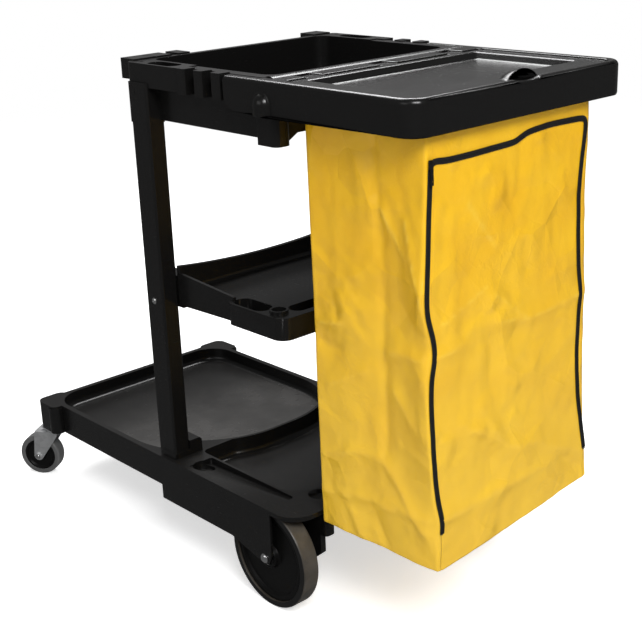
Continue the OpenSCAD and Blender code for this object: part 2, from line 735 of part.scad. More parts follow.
module bag_frame() {
    y = top_w / 2;
    lid_gap = 2;
    color("dimgray") placed() difference() {
        union() {
            difference() {
                slab(frame_x0, frame_x1, -y, y, frame_z, frame_top, 1, frame_r);
                slab(frame_x0 - 2, frame_x1 - frame_t, -y + frame_t, y - frame_t, frame_z - 1, frame_top - 8,
                    1, frame_r - frame_t);
                slab(lid_x0 - 3, lid_x1 + lid_gap, -lid_w / 2 - lid_gap, lid_w / 2 + lid_gap, frame_z,
                    frame_top + 1, 10, 20);
            }
            slab(lid_x0 - 4, frame_x1 - frame_t + 1, -y + frame_t - 1, y - frame_t + 1, ledge_z,
                ledge_z + ledge_t, 1, frame_r - frame_t);
            leaned() slab(ring_x0, ring_x1, bag_y - ring_w, bag_y + ring_w, frame_z + 5, ledge_z + 4, 6, 6);
            box(frame_x0, frame_x0 + crossbar_w, -bin_mouth_w / 2 + 2, bin_mouth_w / 2 - 2, ledge_z,
                frame_top - 7);
            both() frame_arm();
        }
        leaned() slab(ring_x0 + ring_t_bag, ring_x1 - ring_t_bag, bag_y - ring_w + ring_t_bag,
            bag_y + ring_w - ring_t_bag, frame_z - 6, frame_top, 5, 5);
        translate([lid_x1 - 1, hood_y, frame_top + 3 * hood_r - 4]) rotate([0, 90, 0])
            cylinder(h = lid_rear + 2, r = 3 * hood_r);
        frame_edge_cut();
        for (t = tongue_ys) box(hinge_x - 12, lid_x0 + 1, t - tongue_w / 2 - 1, t + tongue_w / 2 + 1,
            ledge_z - 1, frame_top + 1);
        rod_y(hinge_x, hinge_z, -pin_half() - 1, pin_half() + 1, lid_pin_d / 2);
        for (s = frame_screw_ys()) translate([frame_x0 - 1, s, frame_screw_z()]) rotate([0, 90, 0])
            cylinder(h = frame_screw_len - bin_wall + 2, d = frame_screw_d);
    }
}

function pin_half() = bin_mouth_w / 2 - 4;

module frame_screws() {
    color("silver") placed() for (y = frame_screw_ys()) translate([bin_x1 - bin_wall, y, frame_screw_z()])
        rotate([0, 90, 0]) {
            cylinder(h = frame_screw_len, d = frame_screw_d);
            translate([0, 0, -3]) cylinder(h = 3, r = frame_screw_d);
        }
}

module lid_pin() {
    color("silver") placed() rod_y(hinge_x, hinge_z, -pin_half(), pin_half(), lid_pin_d / 2);
}

// Lid

// Pyramid stump between two rectangles given by half sizes about a centre.
module stump(xc, top_x, low_x, top_y, low_y, z0, z1) {
    intersection() {
        upright_plate(-top_y - 10, top_y + 10)
            polygon([[xc - low_x, z0], [xc + low_x, z0], [xc + top_x, z1], [xc - top_x, z1]]);
        long_x(xc - top_x - 10, xc + top_x + 10)
            polygon([[-low_y, z0], [low_y, z0], [top_y, z1], [-top_y, z1]]);
    }
}

module lid_panel() {
    pan_x0 = lid_x0 + lid_front_border;
    pan_x1 = lid_x1 - lid_rear_border;
    xc = (pan_x0 + pan_x1) / 2;
    sx = (pan_x1 - pan_x0) / 2;
    sy = lid_w / 2 - lid_side_border;
    slope = lid_slope;
    color("gray") placed() difference() {
        union() {
            difference() {
                slab(lid_x0, lid_x1, -lid_w / 2, lid_w / 2, lid_skirt_z, lid_top, 14, 18);
                slab(lid_x0 + 3, lid_x1 - 3, -lid_w / 2 + 3, lid_w / 2 - 3, lid_skirt_z - 1, lid_top - lid_t,
                    11, 15);
            }
            stump(xc, sx + lid_t, sx + lid_t - slope, sy + lid_t, sy + lid_t - slope,
                lid_top - lid_sink - lid_t, lid_top - 1);
            for (t = tongue_ys) {
                box(hinge_x, lid_x0 + 1, t - tongue_w / 2, t + tongue_w / 2, hinge_z, lid_top);
                rod_y(hinge_x, hinge_z, t - tongue_w / 2, t + tongue_w / 2, knuckle_r);
            }
            intersection() {
                translate([lid_x1, hood_y, hood_z]) sphere(r = hood_r);
                box(lid_x1 - hood_r, lid_x1, hood_y - hood_r, hood_y + hood_r, lid_top - lid_t, lid_top + 20);
            }
        }
        stump(xc, sx + 1, sx - slope, sy + 1, sy - slope, lid_top - lid_sink, lid_top + 1);
        intersection() {
            translate([lid_x1, hood_y, hood_z]) sphere(r = hood_r - 3);
            box(lid_x1 - hood_r, lid_x1 + hood_r, hood_y - hood_r, hood_y + hood_r, lid_top - 8, lid_top + 20);
        }
        rod_y(hinge_x, hinge_z, -lid_w / 2, lid_w / 2, lid_pin_d / 2 + run);
    }
}

// Bag and zip

module bag_shell() {
    y0 = bag_y - bag_w / 2;
    y1 = bag_y + bag_w / 2;
    color("gold") placed() leaned() difference() {
        long_x(bag_x0, bag_x1)
            polygon([[y0, bag_z], [y1, bag_z + bag_rise], [y1, bag_top], [y0, bag_top]]);
        long_x(bag_x0 + bag_t, bag_x1 - bag_t)
            polygon([[y0 + bag_t, bag_z + bag_t], [y1 - bag_t, bag_z + bag_rise + bag_t],
                [y1 - bag_t, bag_top + 1], [y0 + bag_t, bag_top + 1]]);
        box(bag_x1 - 10, bag_x1 + 1, flap_y0, flap_y1, flap_z, flap_top);
    }
}

module bag_flap() {
    color("gold") placed() leaned() box(bag_x1 - bag_t, bag_x1, flap_y0 + hole_gap, flap_y1 - hole_gap,
        flap_z + hole_gap, flap_top - hole_gap);
}

module tape(y0, y1, z0, z1, w) {
    difference() {
        box(bag_x1, bag_x1 + tape_t, y0, y1, z0, z1);
        box(bag_x1 - 1, bag_x1 + tape_t + 1, y0 + w, y1 - w, z0 - 1, z1 - w);
    }
}

module zip_tape_bag() {
    color("black") placed() leaned()
        tape(flap_y0 - tape_w, flap_y1 + tape_w, flap_z, flap_top + tape_w, tape_w);
}

module zip_tape_flap() {
    color("black") placed() leaned()
        tape(flap_y0 + hole_gap, flap_y1 - hole_gap, flap_z + hole_gap, flap_top - hole_gap, tape_w - hole_gap);
}

module zip_slider() {
    x = bag_x1 + tape_t + free;
    color("silver") placed() leaned() difference() {
        slab(x, x + 3, flap_y0 - tape_w - 1, flap_y0 - 0.5, flap_top - slider_len, flap_top, 0.6, 0.6);
        rod_y(x + 2, flap_top - slider_len / 2, flap_y0 - tape_w - 2, flap_y0 + 1, 0.8);
    }
}

module zip_pull() {
    x = bag_x1 + tape_t + free + 3 + free;
    y = flap_y0 - tape_w / 2 - 0.75;
    z = flap_top - slider_len;
    color("silver") placed() leaned() difference() {
        slab(x, x + 1.2, y - 3, y + 3, z - 24, z + 12, 0.4, 0.4);
        translate([x - 1, y, z - 18]) rotate([0, 90, 0]) cylinder(h = 4, r = 1.6);
    }
}

// Rear axles and wheels

module axle(side) {
    color("silver") placed() on_side(side) {
        rod_y(axle_x, axle_z(), -deck_w / 2, -fork_plate_y + fork_plate_t + 14, axle_d / 2);
        intersection() {
            translate([axle_x, -deck_w / 2 + 6, axle_z()]) sphere(r = 12);
            rod_y(axle_x, axle_z(), -deck_w / 2 - 6, -deck_w / 2, 9.5);
        }
    }
}

module axle_left() { axle(-1); }
module axle_right() { axle(1); }

module axle_nuts() {
    y = -fork_plate_y + fork_plate_t;
    color("silver") placed() both() difference() {
        translate([axle_x, y, axle_z()]) rotate([-90, 0, 0]) cylinder(h = 10, r = axle_d * 0.9, $fn = 6);
        rod_y(axle_x, axle_z(), y - 1, y + 11, axle_d / 2);
    }
}

module washer(y0, y1) {
    difference() {
        rod_y(axle_x, axle_z(), y0, y1, axle_d / 2 + washer_rim);
        rod_y(axle_x, axle_z(), y0 - 1, y1 + 1, axle_d / 2 + run);
    }
}

module axle_washers() {
    color("silver") placed() both() {
        washer(-deck_w / 2 + skirt_t, -wheel_out - free);
        washer(-fork_plate_y - 2, -fork_plate_y);
    }
}

module turned(side) {
    placed() on_side(side) translate([axle_x, -wheel_out, axle_z()]) rotate([-90, 0, 0]) rotate_extrude()
        children();
}

hub_len = wheel_out - fork_plate_y - 2 - free;
rim_r = wheel_r - tyre_t;

module wheel_hub(side) {
    d0 = (wheel_w - disc_t) / 2;
    color("dimgray") turned(side) polygon([
        [axle_d / 2 + run + bush_t, 0], [hub_r, 0], [hub_r + 2, d0], [rim_r - 14, d0], [rim_r - 10, d0 - 5],
        [rim_r, d0 - 5], [rim_r, wheel_w - d0 + 5], [rim_r - 10, wheel_w - d0 + 5], [rim_r - 14, wheel_w - d0],
        [hub_r + 2, wheel_w - d0], [hub_r, wheel_w], [hub_r, hub_len], [axle_d / 2 + run + bush_t, hub_len]
    ]);
}

module wheel_hub_left() { wheel_hub(-1); }
module wheel_hub_right() { wheel_hub(1); }

module wheel_tyre(side) {
    e = 5;
    color("black") turned(side) {
        translate([rim_r, 1]) square([tyre_t - e, wheel_w - 2]);
        translate([rim_r, e]) square([tyre_t, wheel_w - 2 * e]);
        for (y = [e, wheel_w - e]) translate([wheel_r - e, y]) intersection() {
            circle(e);
            translate([-e, -e + 1]) square([2 * e, 2 * e - 2]);
        }
    }
}

module wheel_tyre_left() { wheel_tyre(-1); }
module wheel_tyre_right() { wheel_tyre(1); }

module wheel_bush(side) {
    color("white") turned(side) translate([axle_d / 2 + run, 0]) square([bush_t, hub_len]);
}

module wheel_bush_left() { wheel_bush(-1); }
module wheel_bush_right() { wheel_bush(1); }

// Casters, drawn with the trail along +X and the wheel axis along Y

module caster(side) {
    placed() on_side(side) translate([swivel_x, -swivel_y, 0]) rotate([0, 0, caster_yaw]) children();
}

module caster_fixed(side) {
    placed() on_side(side) translate([swivel_x, -swivel_y, 0]) children();
}

module caster_plate_at(side) {
    color("silver") caster_fixed(side) {
        difference() {
            slab(-caster_plate / 2, caster_plate / 2, -caster_plate / 2, caster_plate / 2, caster_h - plate_t,
                caster_h, 6, 6);
            for (x = [-1, 1]) for (y = [-1, 1])
                translate([x * screw_at, y * screw_at, caster_h - plate_t - 1])
                    cylinder(h = plate_t + 2, d = caster_screw_d + 2 * run);
        }
        translate([0, 0, pin_z]) cylinder(h = caster_h - plate_t + 1 - pin_z, r = kingpin_r);
        translate([0, 0, pin_z - 3]) cylinder(h = 4, r = kingpin_r + 4);
    }
}

module caster_plate_left() { caster_plate_at(-1); }
module caster_plate_right() { caster_plate_at(1); }

module caster_races() {
    color("silver") for (s = [-1, 1]) caster_fixed(s) translate([0, 0, caster_h - plate_t - race_t])
        difference() {
            cylinder(h = race_t, d = race_d);
            translate([0, 0, -1]) cylinder(h = race_t + 2, r = kingpin_r);
        }
}

module caster_screws() {
    color("silver") for (s = [-1, 1]) caster_fixed(s) for (x = [-1, 1]) for (y = [-1, 1])
        translate([x * screw_at, y * screw_at, caster_h - plate_t]) {
            cylinder(h = caster_screw_len, d = caster_screw_d);
            translate([0, 0, -3]) cylinder(h = 3, d = caster_screw_d + 4);
        }
}

module fork_leg() {
    translate([trail, caster_r]) circle(11);
    polygon([[trail + 11, caster_r], [trail + 5, crown_z + 2], [-9, crown_z + 2], [-9, crown_z - 5],
        [trail - 10, caster_r - 5]]);
}

module caster_fork(side) {
    color("silver") caster(side) difference() {
        union() {
            slab(-22, trail + 5, -leg_y - fork_t, leg_y + fork_t, crown_z, crown_top, 18, 4);
            for (y = [-leg_y - fork_t, leg_y]) upright_plate(y, y + fork_t) fork_leg();
        }
        translate([0, 0, crown_z - 5]) cylinder(h = crown_t + 10, r = kingpin_r + run);
        rod_y(trail, caster_r, -leg_y - fork_t - 1, leg_y + fork_t + 1, caster_axle_d / 2);
    }
}

module caster_fork_left() { caster_fork(-1); }
module caster_fork_right() { caster_fork(1); }

module caster_axle(side) {
    out = leg_y + fork_t;
    color("silver") caster(side) {
        rod_y(trail, caster_r, -out, out + 6, caster_axle_d / 2);
        translate([trail, out, caster_r]) rotate([-90, 0, 0])
            cylinder(h = 5, r = caster_axle_d * 0.85, $fn = 6);
        intersection() {
            translate([trail, -out + 5, caster_r]) sphere(r = 9);
            rod_y(trail, caster_r, -out - 4, -out, 7);
        }
    }
}

module caster_axle_left() { caster_axle(-1); }
module caster_axle_right() { caster_axle(1); }

module caster_turned(side) {
    caster(side) translate([trail, -caster_w / 2, caster_r]) rotate([-90, 0, 0]) rotate_extrude() children();
}

caster_hub_r = caster_r - 11;

module caster_hub(side) {
    w = caster_w;
    b = caster_axle_d / 2 + run;
    color("black") caster_turned(side) polygon([
        [b, -2.5], [12, -2.5], [14, 4], [caster_hub_r - 7, 6], [caster_hub_r - 4, 2], [caster_hub_r, 2],
        [caster_hub_r, w - 2], [caster_hub_r - 4, w - 2], [caster_hub_r - 7, w - 6], [14, w - 4],
        [12, w + 2.5], [b, w + 2.5]
    ]);
}

module caster_hub_left() { caster_hub(-1); }
module caster_hub_right() { caster_hub(1); }

module caster_tread(side) {
    e = caster_edge;
    w = caster_w;
    color("lightgray") caster_turned(side) {
        translate([caster_hub_r, 0]) square([caster_r - caster_hub_r - e, w]);
        translate([caster_hub_r, e]) square([caster_r - caster_hub_r, w - 2 * e]);
        for (y = [e, w - e]) translate([caster_r - e, y]) circle(e);
    }
}

module caster_tread_left() { caster_tread(-1); }
module caster_tread_right() { caster_tread(1); }

base_deck();
upright_left();
upright_right();
upright_screws();
mid_shelf();
top_bin();
bag_frame();
frame_screws();
lid_pin();
lid_panel();
bag_shell();
zip_tape_bag();
bag_flap();
zip_tape_flap();
zip_slider();
zip_pull();
axle_left();
axle_right();
axle_nuts();
axle_washers();
wheel_hub_left();
wheel_hub_right();
wheel_tyre_left();
wheel_tyre_right();
wheel_bush_left();
wheel_bush_right();
caster_plate_left();
caster_plate_right();
caster_races();
caster_screws();
caster_fork_left();
caster_fork_right();
caster_axle_left();
caster_axle_right();
caster_hub_left();
caster_hub_right();
caster_tread_left();
caster_tread_right();
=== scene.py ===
import json
import math

import bpy
import numpy as np
from mathutils import Matrix, Vector, noise


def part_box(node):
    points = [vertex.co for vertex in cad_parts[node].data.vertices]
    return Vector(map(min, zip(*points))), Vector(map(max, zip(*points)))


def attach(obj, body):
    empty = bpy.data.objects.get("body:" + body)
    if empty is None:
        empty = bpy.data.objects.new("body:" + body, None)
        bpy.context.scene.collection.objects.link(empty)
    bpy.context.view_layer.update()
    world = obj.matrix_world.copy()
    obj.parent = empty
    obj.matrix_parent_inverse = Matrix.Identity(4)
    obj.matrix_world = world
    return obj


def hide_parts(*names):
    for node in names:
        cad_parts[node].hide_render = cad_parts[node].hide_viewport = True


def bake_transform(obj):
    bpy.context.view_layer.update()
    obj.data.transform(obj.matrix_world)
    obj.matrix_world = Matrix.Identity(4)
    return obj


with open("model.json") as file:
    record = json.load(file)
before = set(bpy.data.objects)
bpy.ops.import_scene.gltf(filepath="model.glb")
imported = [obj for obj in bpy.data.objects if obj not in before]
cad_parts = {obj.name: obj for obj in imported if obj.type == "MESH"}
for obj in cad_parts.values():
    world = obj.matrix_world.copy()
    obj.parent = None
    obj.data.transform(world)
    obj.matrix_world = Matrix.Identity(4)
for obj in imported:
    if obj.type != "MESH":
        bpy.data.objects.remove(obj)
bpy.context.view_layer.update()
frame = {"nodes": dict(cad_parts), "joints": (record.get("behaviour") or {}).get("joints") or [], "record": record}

record = frame["record"]
nodes = frame["nodes"]
jointPlace = {j["name"]: Vector(j["pos_m"]) for j in frame["joints"] if "pos_m" in j}
slotOf = {p["node"]: p["material_slot"] for p in record["subparts"]}
scene = bpy.context.scene
scene.view_settings.view_transform = "Standard"
mm = 0.001


# Shader maths: a wrapped output socket that takes part in expressions
class Shade:
    def __init__(self, tree, socket=None):
        self.tree = tree
        self.socket = socket

    def make(self, kind, settings=None, sockets=None, out=0):
        node = self.tree.nodes.new("ShaderNode" + kind)
        for key, value in (settings or {}).items():
            setattr(node, key, value)
        for key, value in (sockets or {}).items():
            if isinstance(value, Shade):
                self.tree.links.new(value.socket, node.inputs[key])
            else:
                node.inputs[key].default_value = value
        return Shade(self.tree, node.outputs[out] if len(node.outputs) else None)

    def maths(self, operation, *values):
        return self.make("Math", {"operation": operation}, dict(enumerate(values)))

    def __add__(self, other):
        return self.maths("ADD", self, other)

    def __sub__(self, other):
        return self.maths("SUBTRACT", self, other)

    def __rsub__(self, other):
        return self.maths("SUBTRACT", other, self)

    def __mul__(self, other):
        return self.maths("MULTIPLY", self, other)

    __radd__ = __add__
    __rmul__ = __mul__

    def between(self, low, high):
        # 0 at low, 1 at high, with soft ends
        return self.make("MapRange", {"interpolation_type": "SMOOTHSTEP"},
                         {"Value": self, "From Min": low, "From Max": high})

    def tint(self, first, second):
        # colour that goes from first to second as this value goes from 0 to 1
        return self.make("Mix", {"data_type": "RGBA"}, {0: self, 6: first, 7: second}, out=2)

    def noise(self, scale, detail=3.0, rough=0.55):
        return self.make("TexNoise", None,
                         {"Vector": self, "Scale": scale, "Detail": detail, "Roughness": rough})

    def stretched(self, factors):
        return self.make("VectorMath", {"operation": "MULTIPLY"}, {0: self, 1: factors})

    def part(self, axis):
        return self.make("SeparateXYZ", None, {0: self}, out=axis)

    def bump(self, strength, depth, **more):
        # normals of a relief with this value as its height
        sockets = {"Strength": strength, "Distance": depth, "Height": self, **more}
        return self.make("Bump", None, sockets, out="Normal")


def newFinish(name):
    made = bpy.data.materials.new(name)
    made.use_nodes = True
    made.node_tree.nodes.clear()
    return made, Shade(made.node_tree)


def finishWith(shade, colour, rough, relief, gloss=0.5, metal=0.0):
    skin = shade.make("BsdfPrincipled", None, {
        "Base Color": colour, "Roughness": rough, "Normal": relief,
        "Specular IOR Level": gloss, "Metallic": metal,
    })
    shade.make("OutputMaterial", None, {"Surface": skin})


def grey(level, warm=0.0):
    return (level * (1 + warm), level, level * (1 - warm), 1.0)


# Camera
cameraView = {
    "azimuth": 48.05, "elevation": 19.36, "roll": -2.14,   # degrees
    "eye": (1.8087, -1.5171, 1.2614),
    "lens": 69.10, "sensor": 36.0,
}


def makeCamera(view):
    turn, lift, roll = (math.radians(view[k]) for k in ("azimuth", "elevation", "roll"))
    back = Vector((math.sin(turn) * math.cos(lift), -math.cos(turn) * math.cos(lift), math.sin(lift)))
    level = Vector((math.cos(turn), math.sin(turn), 0.0))
    above = back.cross(level)
    right = math.cos(roll) * level + math.sin(roll) * above
    up = math.cos(roll) * above - math.sin(roll) * level
    lens = bpy.data.cameras.new("photoCamera")
    lens.lens = view["lens"]
    lens.sensor_width = view["sensor"]
    camera = bpy.data.objects.new("photoCamera", lens)
    camera.matrix_world = Matrix.Translation(view["eye"]) @ Matrix((right, up, back)).transposed().to_4x4()
    scene.collection.objects.link(camera)
    scene.camera = camera


makeCamera(cameraView)
print("stage: camera")

# Studio: pale floor that fades into a white surround, soft lamps
studio = {
    "floorSize": 14.0, "floorCells": 8, "fadeFrom": 2.2, "fadeTo": 5.5,
    "floorColour": grey(0.88), "speckColour": grey(0.9), "speckScale": 60.0,
    "fill": grey(0.30), "mirrored": grey(0.13),          # surround as seen by matt and by glossy surfaces
    "glowNear": grey(0.58), "glowFar": grey(1.0), "glowFrom": 0.7, "glowTo": 2.0,
    "lamps": [
        # name, place, aim, width, height, watts
        ("keyLamp", (2.65, -1.35, 2.75), (0.45, 0.0, 0.5), 1.4, 1.2, 92.0),
        ("sideLamp", (0.2, -3.6, 2.1), (0.1, 0.0, 0.5), 2.4, 1.6, 14.0),
        ("topLamp", (-1.25, 1.2, 3.1), (0.35, 0.0, 0.95), 2.4, 1.0, 95.0),
    ],
}


def makeStudio(look):
    world = bpy.data.worlds.new("studioSurround")
    scene.world = world
    world.use_nodes = True
    world.node_tree.nodes.clear()
    shade = Shade(world.node_tree)
    seen = shade.make("LightPath", out="Is Camera Ray")
    mirrored = shade.make("LightPath", out="Is Glossy Ray")
    glow = shade.make("Background", None,
                      {"Color": seen.tint(mirrored.tint(look["fill"], look["mirrored"]), grey(1.0))})
    shade.make("OutputWorld", None, {"Surface": glow})

    cells = look["floorCells"]
    bpy.ops.mesh.primitive_grid_add(x_subdivisions=cells, y_subdivisions=cells, size=look["floorSize"])
    floor = bpy.context.object
    floor.name = "studioFloor"
    made, shade = newFinish("studioFloorPaint")
    place = shade.make("TexCoord", out="Object")
    away = shade.make("VectorMath", {"operation": "LENGTH"}, {0: place}, out="Value")
    speck = place.noise(look["speckScale"])
    paint = shade.make("BsdfDiffuse", None, {"Color": speck.tint(look["floorColour"], look["speckColour"])})
    seen = shade.make("LightPath", out="Is Camera Ray")
    mirrored = shade.make("LightPath", out="Is Glossy Ray")
    brim = away.between(look["glowFrom"], look["glowTo"]).tint(look["glowNear"], look["glowFar"])
    glow = shade.make("Emission", None, {"Color": seen.tint(grey(0.0), brim)})
    lit = shade.make("AddShader", None, {0: paint, 1: glow})
    gone = shade.make("BsdfTransparent")
    clear = shade.maths("MAXIMUM", away.between(look["fadeFrom"], look["fadeTo"]), mirrored)
    mixed = shade.make("MixShader", None, {0: clear, 1: lit, 2: gone})
    shade.make("OutputMaterial", None, {"Surface": mixed})
    floor.data.materials.append(made)

    for name, place, aim, width, height, watts in look["lamps"]:
        lamp = bpy.data.lights.new(name, "AREA")
        lamp.shape = "RECTANGLE"
        lamp.size = width
        lamp.size_y = height
        lamp.energy = watts
        holder = bpy.data.objects.new(name, lamp)
        holder.location = place
        holder.rotation_euler = (Vector(aim) - Vector(place)).to_track_quat("-Z", "Y").to_euler()
        scene.collection.objects.link(holder)


makeStudio(studio)
print("stage: studio")

# Finishes
plasticLooks = {
    # the dust colour is dust and painted top light, for faces that look up
    "deck_plastic": {"colour": grey(0.0052, 0.03), "dustAndTopLight": grey(0.10, 0.03), "rough": 0.20, "gloss": 0.36},
    "upright_plastic": {"colour": grey(0.0050, 0.03), "dustAndTopLight": grey(0.06, 0.03), "rough": 0.20, "gloss": 0.36},
    "wheel_plastic": {"colour": grey(0.0042, 0.02), "dustAndTopLight": grey(0.05, 0.03), "rough": 0.28, "gloss": 0.15},
    "bush_plastic": {"colour": grey(0.48, 0.04), "dustAndTopLight": grey(0.55, 0.04), "rough": 0.45, "gloss": 0.4},
}


plasticGrain = {
    "cloud": (5.0, 5.0, 0.6), "pebble": (950.0, 2.0), "scratch": (1.0, 4.0, 0.7),   # scale, detail, roughness
    # scratches along X and along Y: stretch, and the band of noise that they are cut from
    "scuffs": [((40.0, 420.0, 420.0), (0.66, 0.74)), ((380.0, 36.0, 380.0), (0.67, 0.75))],
    "scuffPatches": (0.42, 0.62), "wornColour": grey(0.04), "wornShare": 0.35,
    "bumpStrength": 0.22, "bumpDepth": 0.25 * mm,
}
# Faces that look up take a paler colour: dust, and painted top light. The floor of the bucket platform takes the
# most; the shelf under the bin takes the least, which is painted shade under the bin
dustAndTopLight = {
    # from and to in metres: X for the first two, then heights
    "platform": (-0.48, -0.18), "platformEnd": (-0.05, 0.0), "platformFloor": (0.155, 0.165),
    "shelf": (0.30, 0.45), "bin": (0.65, 0.80), "level": (0.72, 0.98),
    "share": 0.12, "shelfShade": 0.10, "binMore": 0.15, "platformMore": 0.8,
}


def dustAndTopLightReach(place, look):
    along = place.part("X")
    height = place.part("Z")
    platform = along.between(*look["platform"]) * (1 - along.between(*look["platformEnd"]))
    bucketFloor = platform * (1 - height.between(*look["platformFloor"]))
    reached = look["share"] - look["shelfShade"] * height.between(*look["shelf"])
    return reached + look["binMore"] * height.between(*look["bin"]) + look["platformMore"] * bucketFloor


def mouldedPlastic(name, look, grain):
    made, shade = newFinish(name)
    place = shade.make("TexCoord", out="Object")
    upward = shade.make("TexCoord", out="Normal").part("Z")
    cloud = place.noise(*grain["cloud"])
    pebble = place.noise(*grain["pebble"])
    scuffX, scuffY = (place.stretched(pull).noise(*grain["scratch"]).between(*band)
                      for pull, band in grain["scuffs"])
    scuff = (scuffX + scuffY) * cloud.between(*grain["scuffPatches"])
    patches = 0.55 + 0.45 * cloud.between(0.3, 0.7)
    # dust and painted top light: faces that look up turn paler, least on the shelf, as painted shade under the bin
    dustyAndTopLit = upward.between(*dustAndTopLight["level"]) * patches * dustAndTopLightReach(place, dustAndTopLight)
    settled = dustyAndTopLit.tint(look["colour"], look["dustAndTopLight"])
    wornAndLit = (scuff * grain["wornShare"]).tint(settled, grain["wornColour"])
    relief = (pebble + cloud * 2.0 - scuff * 0.5).bump(grain["bumpStrength"], grain["bumpDepth"])
    rough = look["rough"] + 0.10 * cloud + 0.10 * scuff + 0.04 * dustyAndTopLit
    finishWith(shade, wornAndLit, rough, relief, look["gloss"])
    return made


vinylLook = {
    # the worn colour is for worn fold crests, and for painted bounce light from the floor low on the walls
    "colour": (0.87, 0.50, 0.012, 1.0), "deep": (0.80, 0.43, 0.008, 1.0), "wornAndLit": (0.93, 0.62, 0.06, 1.0),
    "thread": 1.1 * mm, "rough": 0.24, "gloss": 0.60, "facets": (10.0, 17.0, 31.0), "facetRadius": 0.40,
    "cloud": (9.0, 4.0, 0.6), "crinkle": (55.0, 5.0, 0.6), "vein": (15.0, 4.0, 0.55),   # as in plasticGrain
    "creasePatches": (4.0, 0.45, 0.62), "facetPatches": (5.0, 0.40, 0.60),              # scale, from, to
    "paleHeights": (0.20, 0.85), "paleShare": 0.5, "bumpStrength": 0.5, "bumpDepth": 0.6 * mm,
}


def coatedVinyl(name, look):
    made, shade = newFinish(name)
    place = shade.make("TexCoord", out="Object")
    ridge = shade.make("Attribute", {"attribute_name": "foldWear"}, out="Fac")

    def patches(scale, low, high):
        return place.noise(scale).between(low, high)

    cloud = place.noise(*look["cloud"])
    crinkle = place.noise(*look["crinkle"])
    across = place.part("X") + place.part("Y")
    upright = place.part("Z")
    pitch = 2 * math.pi / look["thread"]
    vein = shade.maths("ABSOLUTE", place.noise(*look["vein"]) - 0.5)
    crease = (1 - vein.between(0.0, 0.05)) * patches(*look["creasePatches"])
    weave = shade.maths("SINE", across * pitch) * shade.maths("SINE", upright * pitch)
    # flat facets between sharp creases, as in crumpled sheet: paraboloids of one radius, in mm
    bent = []
    for count in look["facets"]:
        reach = shade.make("TexVoronoi", {"feature": "F1"}, {"Vector": place, "Scale": count}, out="Distance")
        bent.append(reach * reach * (1000 / (2 * count * count * look["facetRadius"])))
    facet = (bent[0] - bent[1] + 0.5 * bent[2]) * patches(*look["facetPatches"])
    tone = cloud.between(0.25, 0.7).tint(look["deep"], look["colour"])
    # painted bounce light from the floor: the walls turn a paler lemon yellow towards the bottom
    pale = (1 - upright.between(*look["paleHeights"])) * look["paleShare"]
    colour = shade.maths("MAXIMUM", ridge * 0.5 * crinkle.between(0.3, 0.6), pale).tint(tone, look["wornAndLit"])
    fine = (crinkle * 1.2 + crease * 0.9 + weave * 0.10).bump(look["bumpStrength"], look["bumpDepth"])
    relief = facet.bump(1.0, mm, Normal=fine)
    finishWith(shade, colour, look["rough"] + 0.14 * crinkle + 0.06 * ridge, relief, look["gloss"])
    return made


tapeLook = {
    "colour": grey(0.008), "high": grey(0.02), "rib": 1.2 * mm, "fuzz": (700.0, 3.0),
    "rough": 0.62, "gloss": 0.25, "bumpStrength": 0.5, "bumpDepth": 0.3 * mm,
}


def wovenTape(name, look):
    made, shade = newFinish(name)
    place = shade.make("TexCoord", out="Object")
    rib = shade.maths("SINE", (place.part("Z") + place.part("Y")) * (2 * math.pi / look["rib"]))
    fuzz = place.noise(*look["fuzz"])
    tone = fuzz.between(0.35, 0.65).tint(look["colour"], look["high"])
    relief = (rib * 0.4 + fuzz).bump(look["bumpStrength"], look["bumpDepth"])
    finishWith(shade, tone, look["rough"] + 0.2 * fuzz, relief, look["gloss"])
    return made


metalLooks = {
    "chrome_steel": {"bright": grey(0.80), "dull": grey(0.62), "rough": 0.10, "cell": 300.0, "scratch": 0.10},
    "bright_steel": {"bright": grey(0.66), "dull": grey(0.50), "rough": 0.24, "cell": 220.0, "scratch": 0.18},
    "zinc_steel": {"bright": grey(0.90, -0.01), "dull": grey(0.66, -0.01), "rough": 0.32, "cell": 110.0,
                   "scratch": 0.16, "metal": 0.92},
    "zip_metal": {"bright": grey(0.10), "dull": grey(0.05), "rough": 0.30, "cell": 500.0, "scratch": 0.20},
}
metalGrain = {"cloud": (40.0, 4.0), "pull": (900.0, 60.0, 900.0), "bumpStrength": 0.12, "bumpDepth": 0.1 * mm}


def platedMetal(name, look, grain):
    made, shade = newFinish(name)
    place = shade.make("TexCoord", out="Object")
    spangle = shade.make("TexVoronoi", None, {"Vector": place, "Scale": look["cell"]}, out="Color")
    patch = shade.make("SeparateColor", None, {0: spangle}, out=0)
    cloud = place.noise(*grain["cloud"])
    scratch = place.stretched(grain["pull"]).noise(1.0, 3.0).between(0.6, 0.7)
    tone = (patch * 0.5 + cloud * 0.5).tint(look["dull"], look["bright"])
    relief = (scratch + cloud).bump(grain["bumpStrength"], grain["bumpDepth"])
    rough = look["rough"] + look["scratch"] * scratch + 0.10 * cloud
    finishWith(shade, tone, rough, relief, metal=look.get("metal", 1.0))
    return made


rubberLooks = {
    "wheel_rubber": {"colour": (0.040, 0.035, 0.029, 1.0), "scrubbed": (0.075, 0.066, 0.055, 1.0),
                     "flank": 0.12, "rough": 0.30, "gloss": 0.5},
    "caster_rubber": {"colour": grey(0.10), "scrubbed": grey(0.17),
                      "flank": 0.85, "rough": 0.42, "gloss": 0.4},
}
rubberGrain = {"cloud": (30.0, 5.0, 0.65), "grit": (500.0, 3.0), "bumpStrength": 0.25, "bumpDepth": 0.3 * mm}


